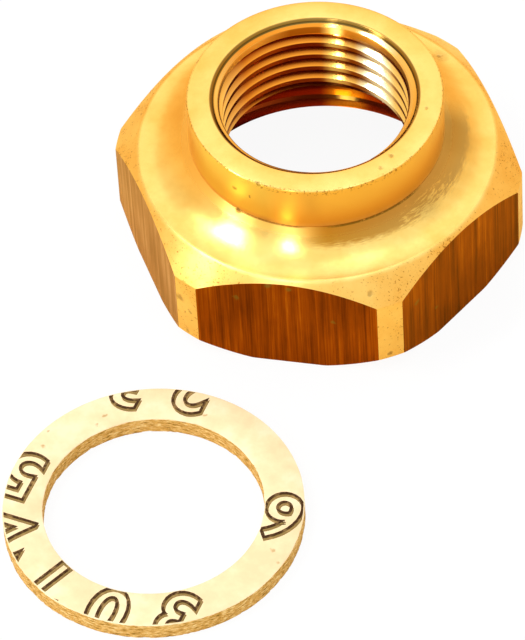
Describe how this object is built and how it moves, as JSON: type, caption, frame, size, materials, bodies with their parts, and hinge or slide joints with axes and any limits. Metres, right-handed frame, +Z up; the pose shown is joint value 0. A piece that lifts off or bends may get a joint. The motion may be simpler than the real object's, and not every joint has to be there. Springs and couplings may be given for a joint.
{
  "type": "reducing socket",
  "caption": "Brass reducing socket: hexagon with a wide threaded bore, round collar with a narrow threaded bore, and a flat fibre seal lying beside it.",
  "frame": {"origin": "on the socket's axis, in the plane of the base ring that it stands on", "axes": "+Z up along the socket's axis, from the wide end to the narrow one; +X through a corner of the hexagon; -Y through the front flat, towards the seal"},
  "size_m": [0.0463, 0.0753, 0.02],
  "materials": {
    "brass": "turned, bright, with dark drawn flats",
    "seal_fibre": "matt pressed fibre sheet"
  },
  "bodies": {
    "root": {"socket": "brass", "seal": "seal_fibre"}
  },
  "joints": []
}
